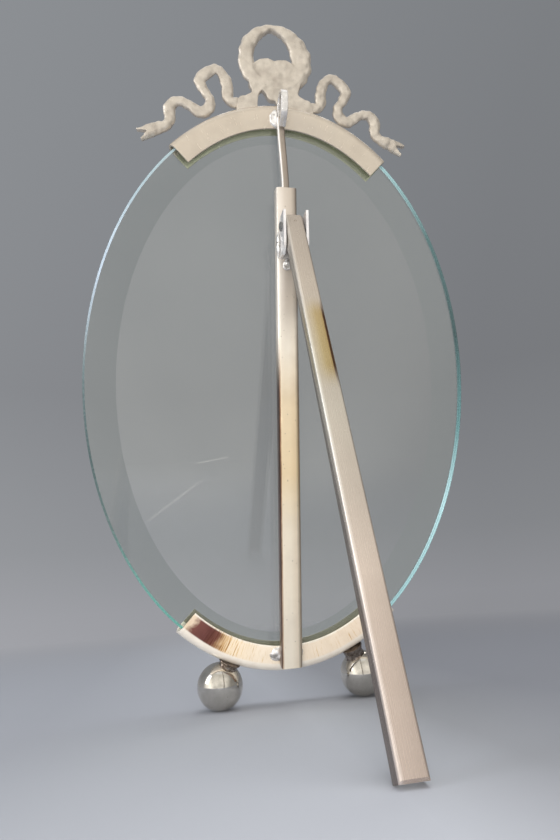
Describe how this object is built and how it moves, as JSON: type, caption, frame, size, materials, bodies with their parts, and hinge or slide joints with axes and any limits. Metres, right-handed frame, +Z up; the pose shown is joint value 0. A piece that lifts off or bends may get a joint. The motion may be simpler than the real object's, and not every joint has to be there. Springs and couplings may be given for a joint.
{
  "type": "oval picture frame",
  "caption": "Oval tabletop picture frame: bevelled glass gripped by sprung metal channels, ball feet, wreath and ribbon crest, folding easel leg.",
  "frame": {"origin": "On the floor, under the middle of the footprint, with the glass's middle line at x = 0", "axes": "The frame stands as in use. The picture side faces -Y and leans back; the leg stands out towards +Y; +Z is up and +X is to the right when looking at the picture"},
  "size_m": [0.13, 0.1068, 0.223],
  "materials": {
    "glass": "clear polished plate glass with a faint green edge",
    "satin_plate": "warm satin silver plate with fine brush lines",
    "polished_plate": "polished silver plate",
    "cast_plate": "matt silver-plated casting",
    "spring_steel": "bare steel",
    "bush_brass": "plain brass",
    "solder": "bright soft solder"
  },
  "bodies": {
    "spine": {"glass_oval": "glass", "bottom_mount": "satin_plate", "foot_ball_left": "polished_plate", "foot_ball_right": "polished_plate", "foot_collar_left": "polished_plate", "foot_collar_right": "polished_plate", "spine_tube": "satin_plate", "rod_guide": "bush_brass", "spring_anchor_pin": "spring_steel", "tension_spring": "spring_steel", "hinge_bracket": "satin_plate", "hinge_pin": "spring_steel", "tube_solder_left": "solder", "tube_solder_right": "solder", "hinge_solder_side": "solder", "hinge_solder_foot": "solder"},
    "crown_slide": {"top_mount": "satin_plate", "wreath": "cast_plate", "ribbon_left": "cast_plate", "ribbon_right": "cast_plate", "slide_rod": "satin_plate", "rod_spring_pin": "spring_steel", "hanging_loop": "polished_plate", "loop_solder_left": "solder", "loop_solder_right": "solder"},
    "leg": {"easel_leg": "satin_plate"}
  },
  "joints": [
    {"name": "crown_lift", "type": "slide", "parent": "spine", "child": "crown_slide", "axis": [0, 0.2909, 0.9568], "range_m": [0, 0.009], "stiffness_N_per_m": 400, "springref_m": -0.006, "deforming": ["tension_spring"]},
    {"name": "leg_fold", "type": "hinge", "parent": "spine", "child": "leg", "pos_m": [-0.0016, 0.00913, 0.14579], "axis": [0.9999, -0.0034, -0.011], "range_deg": [-33.2, 0]}
  ]
}
